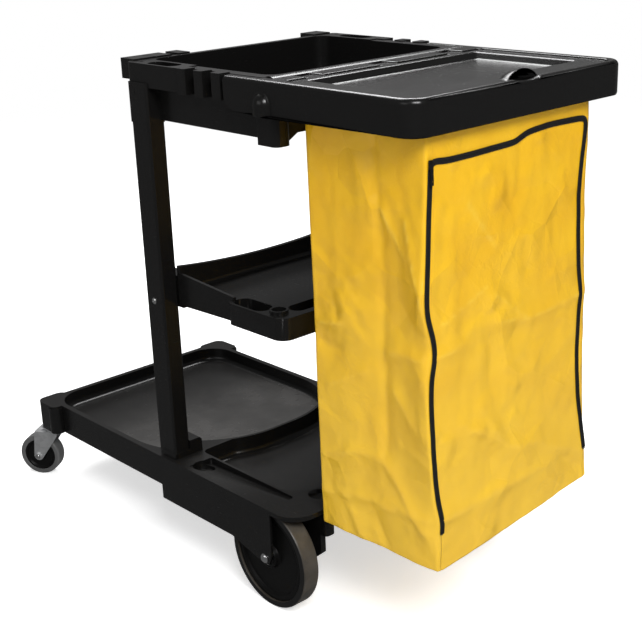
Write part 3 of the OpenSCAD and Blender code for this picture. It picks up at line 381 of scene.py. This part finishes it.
def treadRubber(name, look, grain):
    made, shade = newFinish(name)
    place = shade.make("TexCoord", out="Object")
    cloud = place.noise(*grain["cloud"])
    grit = place.noise(*grain["grit"])
    sideways = shade.make("TexCoord", out="Normal").part("Y")
    flank = shade.maths("ABSOLUTE", sideways).between(0.35, 0.85)
    tread = (cloud.between(0.3, 0.7) * 0.7 + grit * 0.3).tint(look["colour"], look["scrubbed"])
    tone = flank.tint(tread, grey(look["colour"][1] * look["flank"]))
    relief = (grit + cloud).bump(grain["bumpStrength"], grain["bumpDepth"])
    finishWith(shade, tone, look["rough"] + 0.18 * cloud, relief, look["gloss"])
    return made


finishes = {name: mouldedPlastic(name, look, plasticGrain) for name, look in plasticLooks.items()}
finishes |= {name: platedMetal(name, look, metalGrain) for name, look in metalLooks.items()}
finishes |= {name: treadRubber(name, look, rubberGrain) for name, look in rubberLooks.items()}
finishes["bag_vinyl"] = coatedVinyl("bag_vinyl", vinylLook)
finishes["zip_tape"] = wovenTape("zip_tape", tapeLook)
print("stage: finishes", len(finishes))


def addPiece(name, points, faces, slot, body=None, smooth=True):
    mesh = bpy.data.meshes.new(name)
    mesh.from_pydata([tuple(p) for p in points], [], faces)
    mesh.update()
    for face in mesh.polygons:
        face.use_smooth = smooth
    piece = bpy.data.objects.new(name, mesh)
    piece.data.materials.append(finishes[slot])
    scene.collection.objects.link(piece)
    if body:
        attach(piece, body)
    return piece


# Moulded and turned pieces keep their CAD solids, with eased edges
easedEdges = {
    # node: edge radius in metres
    "base_deck": 2.4 * mm, "top_bin": 2.2 * mm, "mid_shelf": 1.4 * mm, "bag_frame": 3.6 * mm,
    "lid_panel": 3.0 * mm, "upright_screws": 0.3 * mm, "zip_slider": 0.3 * mm, "zip_pull": 0.25 * mm,
}
pairedEdges = {
    # the same on the left and on the right
    "upright": 1.0 * mm, "wheel_hub": 1.5 * mm, "wheel_tyre": 1.5 * mm, "axle": 0.5 * mm,
    "caster_hub": 1.0 * mm, "caster_tread": 1.2 * mm, "caster_fork": 0.5 * mm, "caster_plate": 0.5 * mm,
    "caster_axle": 0.4 * mm,
}
easedEdges |= {name + side: radius for name, radius in pairedEdges.items() for side in ("_left", "_right")}
edgeWork = {"weld": 0.01 * mm, "segments": 3, "weight": 90, "flatAngle": 0.6, "edgeAngle": 32}   # degrees
wideEdges = ("bag_frame", "lid_panel")
keptFacets = ("mid_shelf",)     # its faces have too many holes to be joined


def smoothShading():
    group = bpy.data.node_groups.new("smoothFaces", "GeometryNodeTree")
    group.interface.new_socket("Geometry", in_out="INPUT", socket_type="NodeSocketGeometry")
    group.interface.new_socket("Geometry", in_out="OUTPUT", socket_type="NodeSocketGeometry")
    start = group.nodes.new("NodeGroupInput")
    shaded = group.nodes.new("GeometryNodeSetShadeSmooth")
    end = group.nodes.new("NodeGroupOutput")
    group.links.new(start.outputs[0], shaded.inputs[0])
    group.links.new(shaded.outputs[0], end.inputs[0])
    return group


def dressSolids(edges, work):
    smooth = smoothShading()
    for name, piece in nodes.items():
        for holder in piece.material_slots:
            holder.material = finishes[slotOf[name]]
        if name not in edges:
            continue
        weld = piece.modifiers.new("weld", "WELD")
        weld.merge_threshold = work["weld"]
        if name not in keptFacets:
            faces = piece.modifiers.new("flatFaces", "DECIMATE")
            faces.decimate_type = "DISSOLVE"
            faces.angle_limit = math.radians(work["flatAngle"])
        shaded = piece.modifiers.new("smoothFaces", "NODES")
        shaded.node_group = smooth
        eased = piece.modifiers.new("easedEdges", "BEVEL")
        eased.width = edges[name]
        eased.segments = work["segments"]
        eased.limit_method = "ANGLE"
        eased.angle_limit = math.radians(work["edgeAngle"])
        eased.use_clamp_overlap = name not in wideEdges
        eased.miter_outer = "MITER_ARC"
        weighted = piece.modifiers.new("evenShading", "WEIGHTED_NORMAL")
        weighted.keep_sharp = False
        weighted.weight = work["weight"]


dressSolids(easedEdges, edgeWork)
print("stage: solids dressed", len(easedEdges))

# Moulding radii at the feet of the tray walls, and the crowned strip ahead of the lid
trays = {
    # corners as x, y in mm from the uprights and plan radius: one half, from the front to the rear
    "bucketTray": {"half": [(-483, 232, 62), (50, 232, 205)], "floor": 150.6, "radius": 13},
    "rearTray": {"half": [(33, 200, 14), (320, 200, 60)], "bow": (-155, 27, 211),
                 "floor": 169.0, "radius": 13},
    "shelfTray": {"half": [(38, 221.5, 14), (185, 213, 4), (185, 187, 1), (284, 187, 26)],
                  "floor": 549.0, "radius": 9},
}
trayMesh = {"cornerPoints": 13, "bowPoints": 61, "bowInset": 4, "rows": 7, "clear": 0.1}   # lengths in mm
crown = {"from": 324.5, "to": 344.5, "half": 231, "base": 975.8, "height": 2.6, "points": 11}
uprightsX = -60.105     # mm


def roundedLoop(half, bow=None):
    # closed plan line with rounded corners, and its normals into the tray
    ring = [np.array(c, float) * (1, -1, 1) for c in half] + [np.array(c, float) for c in reversed(half)]
    line = []
    for i, (x, y, r) in enumerate(ring):
        back = ring[i - 1][:2] - (x, y)
        ahead = ring[(i + 1) % len(ring)][:2] - (x, y)
        back, ahead = back / np.hypot(*back), ahead / np.hypot(*ahead)
        for t in np.linspace(0, math.pi / 2, trayMesh["cornerPoints"]):
            line.append(np.array((x, y)) + r * (back * (1 - math.sin(t)) + ahead * (1 - math.cos(t))))
    if bow:
        # front edge that bulges round the end of the tray before it
        centre, flatHalf, radius = bow
        front, wide = half[0][0], half[0][1] - half[0][2] - trayMesh["bowInset"]
        for y in np.linspace(wide, -wide, trayMesh["bowPoints"]):
            reach = math.sqrt(radius ** 2 - max(0, abs(y) - flatHalf) ** 2)
            line.append(np.array((max(front, centre + reach), y)))
    line = np.array(line)
    ahead = np.roll(line, -1, axis=0) - np.roll(line, 1, axis=0)
    ahead /= np.maximum(np.hypot(*ahead.T), 1e-9)[:, None]
    return line, np.column_stack([-ahead[:, 1], ahead[:, 0]])


def makeTrayRadii(look):
    for name, tray in look.items():
        line, inward = roundedLoop(tray["half"], tray.get("bow"))
        n = len(line)
        rows = []
        for t in np.linspace(0, math.pi / 2, trayMesh["rows"]):
            off, rise = tray["radius"] * (1 - math.cos(t)), tray["radius"] * (1 - math.sin(t))
            flat = line + inward * (off + trayMesh["clear"])
            height = np.full(n, tray["floor"] + rise + trayMesh["clear"])
            rows.append(np.column_stack([flat[:, 0] + uprightsX, flat[:, 1], height]))
        faces = [[r * n + i, r * n + (i + 1) % n, (r + 1) * n + (i + 1) % n, (r + 1) * n + i]
                 for r in range(len(rows) - 1) for i in range(n)]
        addPiece(name + "Radius", np.vstack(rows) * mm, faces, "deck_plastic", "cart")


def makeCrown(look):
    count = look["points"]
    middle, reach = (look["from"] + look["to"]) / 2, (look["to"] - look["from"]) / 2
    points = []
    for end in (-1, 1):
        for a in np.linspace(-1, 1, count):
            top = look["base"] + look["height"] * (1 - a * a)
            points.append(((middle + a * reach + uprightsX) * mm, end * look["half"] * mm, top * mm))
    faces = [[i, i + 1, i + count + 1, i + count] for i in range(count - 1)]
    addPiece("crossbarCrown", points, faces, "deck_plastic", "cart")


makeTrayRadii(trays)
makeCrown(crown)
print("stage: moulding radii", len(trays))

# Bag: a hung sheet with given folds, which a short cloth run may move by no more than its cap
bag = {
    "cell": 7.0 * mm, "depth": 266 * mm, "lean": math.radians(-1.28), "rimHeight": 949 * mm,
    "top": 944 * mm, "bottom": 191 * mm, "rise": 33 * mm, "sag": 7 * mm, "spread": 10 * mm,
    "skin": 1.2 * mm, "pinFrom": 921 * mm, "foldSoft": 0.4 * mm, "crestWidth": 4 * mm, "foldGain": 1.7,
    "swells": [(9.0, 3.7, 3.0), (26.0, 8.1, 1.2)],      # scale, seed, height in mm
    # bands over which a change fades, in metres
    "cornerBand": 0.07, "topBand": 0.16, "rimBand": 0.02, "calmBand": 0.04, "borderBand": 0.02,
    "cornerHold": 0.85, "cornerHeights": (0.30, 0.36), "topEase": 3, "zipShort": 2,     # samples, cells
}
clothRun = {
    "frames": 8, "cap": 1.2 * mm,
    "settings": {"quality": 7, "mass": 0.12, "tension_stiffness": 40.0, "compression_stiffness": 40.0,
                 "shear_stiffness": 18.0, "bending_stiffness": 8.0, "air_damping": 4.0},
}
# Folds as lines on a wall: points in mm, height in mm (+ outwards), width in mm
rearFolds = [
    ([(186, 588), (25, 577), (-45, 590)], 4.5, 20), ([(25, 577), (-62, 640)], 3.0, 16),
    ([(10, 872), (8, 800)], -2.5, 24), ([(-200, 615), (-80, 655)], 3.0, 22),
    ([(-192, 288), (30, 292), (106, 300)], 5.0, 22), ([(106, 300), (192, 244)], -4.0, 14),
    ([(57, 341), (196, 272)], 3.5, 16), ([(-142, 439), (-24, 362), (37, 349)], 4.0, 16),
    ([(-96, 457), (-49, 384)], 3.0, 12), ([(-197, 571), (-140, 576)], 4.0, 15),
    ([(-62, 561), (-68, 480)], -3.0, 26), ([(60, 470), (150, 520)], 2.5, 30),
    ([(120, 760), (60, 700)], -2.0, 35), ([(-120, 800), (-60, 720)], 2.0, 40),
]
nearFolds = [
    ([(480, 900), (497, 760), (500, 576), (502, 364)], -5.0, 16),
    ([(502, 364), (443, 362), (346, 328)], 4.5, 14), ([(502, 360), (556, 297), (614, 239)], 4.5, 15),
    ([(347, 256), (440, 276), (503, 277), (598, 288)], 4.5, 14),
    ([(496, 792), (556, 726)], 4.0, 12), ([(557, 779), (585, 700), (600, 655)], 4.0, 12),
    ([(342, 571), (407, 583)], 4.0, 12), ([(344, 538), (395, 533)], -3.5, 12),
    ([(369, 465), (462, 514)], 3.5, 14),
    ([(502, 557), (596, 566)], 4.5, 14), ([(526, 495), (570, 446)], 3.0, 15),
    ([(416, 241), (438, 200)], 3.5, 10), ([(467, 268), (493, 205)], -3.0, 10),
    ([(555, 258), (614, 267)], 3.0, 10),
]
farFolds = [
    ([(490, 900), (500, 600), (498, 380)], -5.0, 16), ([(498, 380), (370, 330)], 4.0, 15),
    ([(498, 378), (606, 262)], 4.5, 15), ([(350, 285), (480, 300), (600, 305)], 4.5, 14),
    ([(380, 700), (470, 650)], 3.5, 14), ([(520, 560), (600, 600)], 4.0, 14),
    ([(360, 520), (440, 500)], 3.5, 16), ([(540, 790), (580, 720)], 3.0, 14),
]
frontFolds = [
    ([(-200, 590), (-20, 570), (180, 600)], 4.5, 18), ([(-195, 285), (0, 295), (180, 300)], 5.0, 18),
    ([(-120, 800), (-30, 700)], 3.5, 20), ([(120, 760), (40, 640)], 3.5, 20),
    ([(-90, 470), (60, 400)], 3.5, 16),
]
# Wander of the zip line off the straight: mm at heights, and mm along its top run
leftWander = [(194, 4), (266, 5), (317, -1), (363, -6), (413, -9), (478, -12), (544, -12), (581, -1),
              (595, -4), (642, -18), (724, -13), (831, -4), (870, -1), (944, 0)]
rightWander = [(226, 11), (302, 2), (373, -12), (430, -20), (494, -20), (590, -17), (671, -22), (769, -19),
               (847, -9), (880, -2), (944, -2)]
topWander = [(-201, 0), (-190, -3), (-168, -6), (-125, -6), (4, -4), (22, 7), (82, 11), (183, 9)]


def stations(marks, cell):
    line = [marks[0]]
    for a, b in zip(marks, marks[1:]):
        count = max(1, round((b - a) / cell))
        line += [a + (b - a) * (i + 1) / count for i in range(count)]
    return line


def smoothStep(low, high, value):
    t = np.clip((value - low) / (high - low), 0, 1)
    return t * t * (3 - 2 * t)


def wander(marks, at, width=13):
    # eased line through the marks, in metres
    place, shift = np.array(marks, float).T * mm
    fine = np.linspace(place[0], place[-1], 400)
    line = np.interp(fine, place, shift)
    line = np.convolve(np.pad(line, width, "edge"), np.ones(2 * width + 1) / (2 * width + 1), "valid")
    return np.interp(at, fine, line)


def foldHeight(a, z, folds, look):
    soft = look["foldSoft"]
    farAway = 9.0
    total = np.zeros_like(a)
    crest = np.zeros_like(a)
    for marks, height, width in folds:
        near = np.full_like(a, farAway)
        line = np.array(marks, float) * mm
        for p, q in zip(line, line[1:]):
            along = q - p
            t = np.clip(((a - p[0]) * along[0] + (z - p[1]) * along[1]) / (along @ along), 0, 1)
            near = np.minimum(near, np.hypot(a - p[0] - t * along[0], z - p[1] - t * along[1]))
        total += height * mm * np.exp(-(np.sqrt(near ** 2 + soft ** 2) - soft) / (width * mm))
        crest = np.maximum(crest, np.exp(-(near / look["crestWidth"]) ** 2) * (height > 0))
    return total, crest


def roll(points, scale, seed):
    # broad soft swelling of a wall
    shift = Vector((seed, seed, seed))
    return np.array([noise.fractal(Vector(p) * scale + shift, 1.0, 2.0, 3) for p in points])


def bagPoints(look):
    low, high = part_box("bag_shell")
    flapLow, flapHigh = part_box("bag_flap")
    pivot = Vector((low.x + look["depth"] / 2, 0.0, look["rimHeight"]))
    turn = Matrix.Rotation(look["lean"], 3, "Y")
    hinge = pivot + turn.inverted() @ (jointPlace["flap_fold"] - pivot)
    flapTop = hinge.z + (flapHigh.z - flapLow.z) / math.cos(look["lean"])
    xs = stations([pivot.x - look["depth"] / 2, pivot.x + look["depth"] / 2], look["cell"])
    ys = stations([low.y, flapLow.y, flapHigh.y, high.y], look["cell"])
    zs = stations([look["bottom"], hinge.z, flapTop, look["top"]], look["cell"])
    flapY = (ys.index(flapLow.y), ys.index(flapHigh.y))
    flapZ = (zs.index(hinge.z), zs.index(flapTop))
    return xs, ys, zs, pivot, turn, flapY, flapZ


def weaveBag(look):
    xs, ys, zs, pivot, turn, flapY, flapZ = bagPoints(look)
    nx, ny, nz = len(xs) - 1, len(ys) - 1, len(zs) - 1
    index = {}
    faces = []
    flapFaces = set()

    def quad(*corners):
        faces.append([index.setdefault(c, len(index)) for c in corners])

    for k in range(nz):
        for j in range(ny):
            if flapY[0] <= j < flapY[1] and k < flapZ[1]:
                flapFaces.add(len(faces))
            quad((nx, j, k), (nx, j + 1, k), (nx, j + 1, k + 1), (nx, j, k + 1))
            quad((0, j, k), (0, j, k + 1), (0, j + 1, k + 1), (0, j + 1, k))
        for i in range(nx):
            quad((i, 0, k), (i + 1, 0, k), (i + 1, 0, k + 1), (i, 0, k + 1))
            quad((i, ny, k), (i, ny, k + 1), (i + 1, ny, k + 1), (i + 1, ny, k))
    for i in range(nx):
        for j in range(ny):
            quad((i, j, 0), (i, j + 1, 0), (i + 1, j + 1, 0), (i + 1, j, 0))

    keys = np.array(list(index))
    flat = np.column_stack([np.array(xs)[keys[:, 0]], np.array(ys)[keys[:, 1]], np.array(zs)[keys[:, 2]]])
    across = (flat[:, 1] - ys[0]) / (ys[-1] - ys[0])
    along = (flat[:, 0] - xs[0]) / (xs[-1] - xs[0])
    below = np.clip((zs[flapZ[0]] - flat[:, 2]) / (zs[flapZ[0]] - zs[0]), 0, 1)
    flat[:, 2] += below * look["rise"] * across
    # 16 brings the middle of the floor, where both curves are at a quarter, to the whole sag
    flat[:, 2] -= (keys[:, 2] == 0) * look["sag"] * 16 * across * (1 - across) * along * (1 - along)
    hung = (flat - np.array(pivot)) @ np.array(turn).T + np.array(pivot)

    drop = np.clip((look["top"] - hung[:, 2]) / (look["top"] - look["bottom"]), 0, 1)
    hung[:, 0] -= look["spread"] * drop * (1 - along)

    # wander of the zip and of the corners beside it
    z = hung[:, 2].copy()
    y = hung[:, 1].copy()
    nearRear = smoothStep(xs[-1] - look["cornerBand"], xs[-1], flat[:, 0])
    left, right = ys[flapY[0]], ys[flapY[1]]
    leftShare = np.clip((right - y) / (right - left), 0, 1)
    pull = wander(leftWander, z) * leftShare + wander(rightWander, z) * (1 - leftShare)
    held = look["cornerHold"] * smoothStep(right, ys[-1], y) * smoothStep(*look["cornerHeights"], z)
    cornerShare = np.where(y > right, 1 - held, 1.0)
    hung[:, 1] += pull * nearRear * cornerShare
    zipTop = zs[flapZ[1]]
    rising = smoothStep(zipTop - look["topBand"], zipTop, z)
    topShare = rising * (1 - smoothStep(zipTop, look["top"] - look["rimBand"], z))
    hung[:, 2] += wander(topWander, y, look["topEase"]) * topShare * nearRear

    # folds on each wall, along its own normal, fading at its borders and under the rim
    wear = np.zeros(len(hung))
    calm = 1 - smoothStep(look["pinFrom"] - look["calmBand"], look["pinFrom"], z)
    swell = sum(roll(hung, scale, seed) * height * mm for scale, seed, height in look["swells"])
    walls = [
        (keys[:, 0] == nx, 1, rearFolds, Vector((1, 0, 0))),
        (keys[:, 0] == 0, 1, frontFolds, Vector((-1, 0, 0))),
        (keys[:, 1] == 0, 0, nearFolds, Vector((0, -1, 0))),
        (keys[:, 1] == ny, 0, farFolds, Vector((0, 1, 0))),
    ]
    for chosen, axis, folds, out in walls:
        a = hung[chosen, axis]
        edge = np.minimum(a - a.min(), a.max() - a)
        border = smoothStep(0.0, look["borderBand"], edge)
        height, crest = foldHeight(a, z[chosen], folds, look)
        lift = (height * look["foldGain"] + swell[chosen]) * border * calm[chosen]
        hung[chosen] += lift[:, None] * np.array(turn @ out)
        wear[chosen] = np.maximum(wear[chosen], crest * border)
    return hung, faces, flapFaces, index, wear, nx, flapY, flapZ


def letDown(piece, pinned, look):
    # the rim is held, and no point ends further than the cap from where it was placed
    group = piece.vertex_groups.new(name="rim")
    group.add(pinned, 1.0, "REPLACE")
    before = np.array([v.co for v in piece.data.vertices])
    cloth = piece.modifiers.new("letDown", "CLOTH")
    for key, value in look["settings"].items():
        setattr(cloth.settings, key, value)
    cloth.settings.vertex_group_mass = "rim"
    cloth.collision_settings.use_self_collision = False
    cloth.point_cache.frame_start = 1
    cloth.point_cache.frame_end = look["frames"]
    for step in range(1, look["frames"] + 1):
        scene.frame_set(step)
    settled = piece.evaluated_get(bpy.context.evaluated_depsgraph_get()).to_mesh()
    after = np.array([v.co for v in settled.vertices])
    piece.modifiers.clear()
    piece.vertex_groups.clear()
    scene.frame_set(1)
    move = after - before
    size = np.linalg.norm(move, axis=1)
    print("bag: uncapped cloth moved %.1f mm at most, %.1f on average" % (size.max() / mm, size.mean() / mm))
    return before + move * np.minimum(1, look["cap"] / np.maximum(size, 1e-9))[:, None]


def keepFaces(name, points, faces, chosen, wear):
    used = sorted({v for f in chosen for v in faces[f]})
    new = {v: i for i, v in enumerate(used)}
    piece = addPiece(name, points[used], [[new[v] for v in faces[f]] for f in chosen], "bag_vinyl")
    layer = piece.data.attributes.new("foldWear", "FLOAT", "POINT")
    layer.data.foreach_set("value", wear[used].astype(np.float32))
    fine = piece.modifiers.new("fine", "SUBSURF")
    fine.levels = fine.render_levels = 1
    thick = piece.modifiers.new("skin", "SOLIDIFY")
    thick.thickness = bag["skin"]
    thick.offset = -1.0
    return piece


def makeBag(look):
    points, faces, flapFaces, index, wear, nx, flapY, flapZ = weaveBag(look)
    whole = addPiece("bagWhole", points, faces, "bag_vinyl")
    pinned = [i for i in range(len(points)) if points[i][2] > look["pinFrom"]]
    points = letDown(whole, pinned, clothRun)
    bpy.data.objects.remove(whole)
    cloth = keepFaces("bagCloth", points, faces, [f for f in range(len(faces)) if f not in flapFaces], wear)
    flap = keepFaces("bagFlapCloth", points, faces, sorted(flapFaces), wear)
    run = [(nx, flapY[0], k) for k in range(flapZ[0], flapZ[1])]
    run += [(nx, j, flapZ[1]) for j in range(flapY[0], flapY[1])]
    run += [(nx, flapY[1], k) for k in range(flapZ[1], flapZ[0] + look["zipShort"], -1)]
    zipLine = points[[index[key] for key in run]]
    return cloth, flap, zipLine


bagCloth, bagFlapCloth, zipLine = makeBag(bag)
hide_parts("bag_shell")
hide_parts("bag_flap")
print("stage: bag", len(bagCloth.data.vertices), "points")

# Zip: two tapes with teeth and stitches, on the line where the flap is cut
zipper = {
    "step": 3.0 * mm, "tapeWidth": 4.6 * mm, "gap": 0.3 * mm, "lift": 0.7 * mm, "tapeThick": 0.9 * mm,
    "toothPitch": 2.6 * mm, "tooth": (1.5 * mm, 2.4 * mm, 1.3 * mm),
    "stitchPitch": 4.4 * mm, "stitch": (3.0 * mm, 0.7 * mm, 0.5 * mm), "stitchIn": 1.2 * mm,
    "toothIn": 0.7 * mm, "toothSink": 0.2 * mm, "stitchSink": 0.1 * mm, "easing": 5, "foldUp": 32 * mm,
}
blockShape = [(-0.5, -0.5, 0), (0.5, -0.5, 0), (0.5, 0.5, 0), (-0.5, 0.5, 0),
              (-0.34, -0.3, 1), (0.34, -0.3, 1), (0.34, 0.3, 1), (-0.34, 0.3, 1)]
blockFaces = [(4, 5, 6, 7), (0, 1, 5, 4), (1, 2, 6, 5), (2, 3, 7, 6), (3, 0, 4, 7), (3, 2, 1, 0)]


def resample(line, step):
    # even steps along an eased line
    for _ in range(zipper["easing"]):
        line = np.vstack([line[:1], (line[:-2] + 2 * line[1:-1] + line[2:]) / 4, line[-1:]])
    length = np.concatenate([[0], np.cumsum(np.linalg.norm(np.diff(line, axis=0), axis=1))])
    at = np.arange(0, length[-1], step)
    return np.column_stack([np.interp(at, length, line[:, i]) for i in range(3)])


def unit(vectors):
    return vectors / np.maximum(np.linalg.norm(vectors, axis=1), 1e-12)[:, None]


def railFrame(line):
    ahead = unit(np.gradient(line, axis=0))
    out = np.tile(np.array([math.cos(bag["lean"]), 0, -math.sin(bag["lean"])]), (len(line), 1))
    side = unit(np.cross(ahead, out))   # away from the flap on the bag's side of the run
    return ahead, side, unit(np.cross(side, ahead))


def tapeStrip(line, side, start, look):
    _, away, out = railFrame(line)
    end = start + look["tapeWidth"]
    rows = [line + away * side * s + out * (look["lift"] + look["tapeThick"] * h)
            for s, h in ((start, 0), (start, 1), (end, 1), (end, 0))]
    points = np.vstack(rows)
    n = len(line)
    faces = []
    for r in range(4):
        a, b = r * n, (r + 1) % 4 * n
        faces += [[a + i, a + i + 1, b + i + 1, b + i] for i in range(n - 1)]
    faces += [[0, n, 2 * n, 3 * n], [n - 1, 4 * n - 1, 3 * n - 1, 2 * n - 1]]
    return points, faces


def blockRow(line, side, offset, size, height, shift=0.0):
    # small tapered blocks along the line: teeth or stitches
    ahead, away, out = railFrame(line)
    points, faces = [], []
    for i in range(len(line)):
        base = len(points)
        for a, b, c in blockShape:
            foot = line[i] + ahead[i] * (a * size[0] + shift) + away[i] * side * (offset + b * size[1])
            points.append(foot + out[i] * (height + c * size[2]))
        faces += [[base + v for v in face] for face in blockFaces]
    return points, faces


def joined(*parts):
    points, faces = [], []
    for p, f in parts:
        base = len(points)
        points += list(p)
        faces += [[base + v for v in face] for face in f]
    return points, faces


def makeZip(line, look):
    pieces = []
    top = look["lift"] + look["tapeThick"]
    seam = look["gap"] + look["tapeWidth"] - look["stitchIn"]
    teeth = resample(line, look["toothPitch"])
    stitches = resample(line, look["stitchPitch"])
    for name, side in (("zipTapeBag", 1), ("zipTapeFlap", -1)):
        tape = tapeStrip(resample(line, look["step"]), side, look["gap"], look)
        rows = blockRow(teeth, side, look["gap"] + look["toothIn"], look["tooth"], top - look["toothSink"],
                        shift=side * look["toothPitch"] / 4)
        sewn = blockRow(stitches, side, seam, look["stitch"], top - look["stitchSink"])
        pieces.append(addPiece(name, *joined(tape, rows, sewn), "zip_tape", smooth=False))
    return pieces


zipTapeBag, zipTapeFlap = makeZip(zipLine, zipper)
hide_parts("zip_tape_bag")
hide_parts("zip_tape_flap")
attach(zipTapeBag, "cart")
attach(bagCloth, "cart")
for piece in (bagFlapCloth, zipTapeFlap):
    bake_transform(piece)
print("stage: zip")
